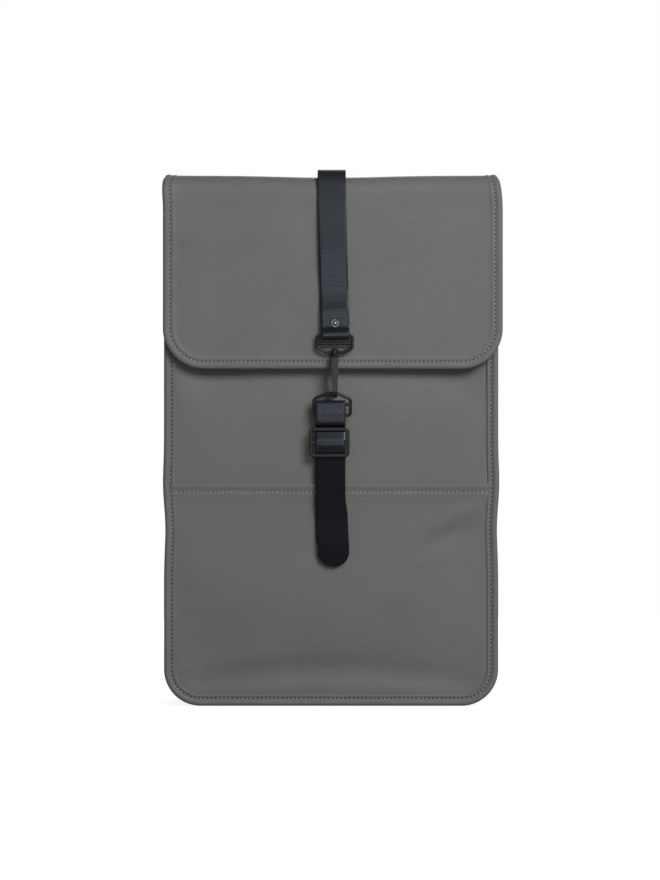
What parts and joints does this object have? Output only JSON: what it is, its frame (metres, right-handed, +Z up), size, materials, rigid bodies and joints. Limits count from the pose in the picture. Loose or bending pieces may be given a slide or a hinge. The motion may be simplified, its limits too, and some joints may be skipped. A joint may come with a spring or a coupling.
{
  "type": "daypack",
  "caption": "Tall flat daypack of coated fabric with a fold-over flap, a webbing strap with a swivel hook and ring closure, and two padded shoulder straps.",
  "frame": {"origin": "centre of the flat base, on the surface the bag stands on", "axes": "+X to the right as seen from the front, -Y towards the front (the closure side), +Z up"},
  "size_m": [0.302, 0.1571, 0.475],
  "materials": {
    "coated_fabric": "matte coated",
    "padding_cover": "matte coated, padded",
    "lining": "plain weave",
    "foam": "closed-cell foam",
    "webbing_dark": "woven, smooth",
    "webbing_grey": "woven, smooth",
    "dark_hardware": "dark satin",
    "rivet_metal": "dark satin",
    "spring_steel": "bright"
  },
  "bodies": {
    "bag": {"anchor_rivet": "rivet_metal", "anchor_washer": "rivet_metal", "back_foam": "foam", "back_panel": "coated_fabric", "back_welt": "coated_fabric", "base_panel": "coated_fabric", "flap_yoke": "coated_fabric", "front_lower_panel": "coated_fabric", "front_upper_panel": "coated_fabric", "front_welt": "coated_fabric", "handle_rivet": "rivet_metal", "handle_tail": "webbing_dark", "laptop_sleeve": "lining", "left_gusset": "coated_fabric", "lower_anchor_left": "coated_fabric", "lower_anchor_right": "coated_fabric", "pad_tab_left": "webbing_dark", "pad_tab_right": "webbing_dark", "right_gusset": "coated_fabric", "shoulder_pad_left": "padding_cover", "shoulder_pad_right": "padding_cover", "shoulder_ring_left": "dark_hardware", "shoulder_ring_right": "dark_hardware", "shoulder_webbing_left": "webbing_dark", "shoulder_webbing_right": "webbing_dark", "strap_anchor": "webbing_grey"},
    "flap": {"flap_top_panel": "coated_fabric", "carry_handle": "webbing_dark"},
    "flap_front": {"flap_front_panel": "coated_fabric", "closure_strap": "webbing_dark", "strap_rivet": "rivet_metal", "rivet_washer": "rivet_metal"},
    "hook_eye": {"hook_eye": "dark_hardware"},
    "hook": {"hook_body": "dark_hardware", "gate_pin": "spring_steel", "gate_spring": "spring_steel"},
    "gate": {"hook_gate": "dark_hardware"},
    "closure": {"adjusting_strap": "webbing_grey"},
    "ring": {"closure_ring": "dark_hardware"},
    "slider": {"strap_slider": "dark_hardware", "slider_crossover": "webbing_grey"},
    "tail": {"strap_tail": "webbing_dark"},
    "slider_left": {"shoulder_slider_left": "dark_hardware", "shoulder_crossover_left": "webbing_dark"},
    "slider_right": {"shoulder_slider_right": "dark_hardware", "shoulder_crossover_right": "webbing_dark"}
  },
  "joints": [
    {"name": "flap_open", "type": "hinge", "parent": "bag", "child": "flap", "pos_m": [0, 0.054, 0.4554], "axis": [-1, 0, 0], "range_deg": [0, 150]},
    {"name": "flap_fold", "type": "hinge", "parent": "flap", "child": "flap_front", "pos_m": [0, -0.0515, 0.4655], "axis": [-1, 0, 0], "range_deg": [0, 90]},
    {"name": "hook_tilt", "type": "hinge", "parent": "flap_front", "child": "hook_eye", "pos_m": [0.0032, -0.0606, 0.3269], "axis": [-1, 0, 0], "range_deg": [0, 100]},
    {"name": "hook_swivel", "type": "hinge", "parent": "hook_eye", "child": "hook", "pos_m": [0.0032, -0.0606, 0.312], "axis": [0, 0, 1], "range_deg": [-9, 9]},
    {"name": "gate_open", "type": "hinge", "parent": "hook", "child": "gate", "pos_m": [0.0032, -0.0599, 0.2995], "axis": [-1, 0, 0], "range_deg": [0, 13], "stiffness_Nm_per_rad": 0.002, "springref_deg": -28.65},
    {"name": "strap_swing", "type": "hinge", "parent": "bag", "child": "closure", "pos_m": [-0.0006, -0.0521, 0.15225], "axis": [1, 0, 0], "range_deg": [0, 140]},
    {"name": "ring_tilt", "type": "hinge", "parent": "closure", "child": "ring", "pos_m": [0.0009, -0.06008, 0.26616], "axis": [1, 0, 0], "range_deg": [-4, 1]},
    {"name": "slider_slide", "type": "slide", "parent": "closure", "child": "slider", "axis": [0, -0.0546, 0.9985], "range_m": [-0.03, 0]},
    {"name": "tail_hang", "type": "hinge", "parent": "closure", "child": "tail", "pos_m": [-0.0006, -0.05573, 0.18385], "axis": [1, 0, 0], "range_deg": [-140, 0]},
    {"name": "shoulder_slide_left", "type": "slide", "parent": "bag", "child": "slider_left", "axis": [0.2688, 0.1309, 0.9543], "range_m": [-0.06, 0]},
    {"name": "shoulder_slide_right", "type": "slide", "parent": "bag", "child": "slider_right", "axis": [-0.2688, 0.1309, 0.9543], "range_m": [-0.06, 0]}
  ],
  "couplings": [
    {"joint": "tail_hang", "follows": "strap_swing", "ratio": -1}
  ]
}
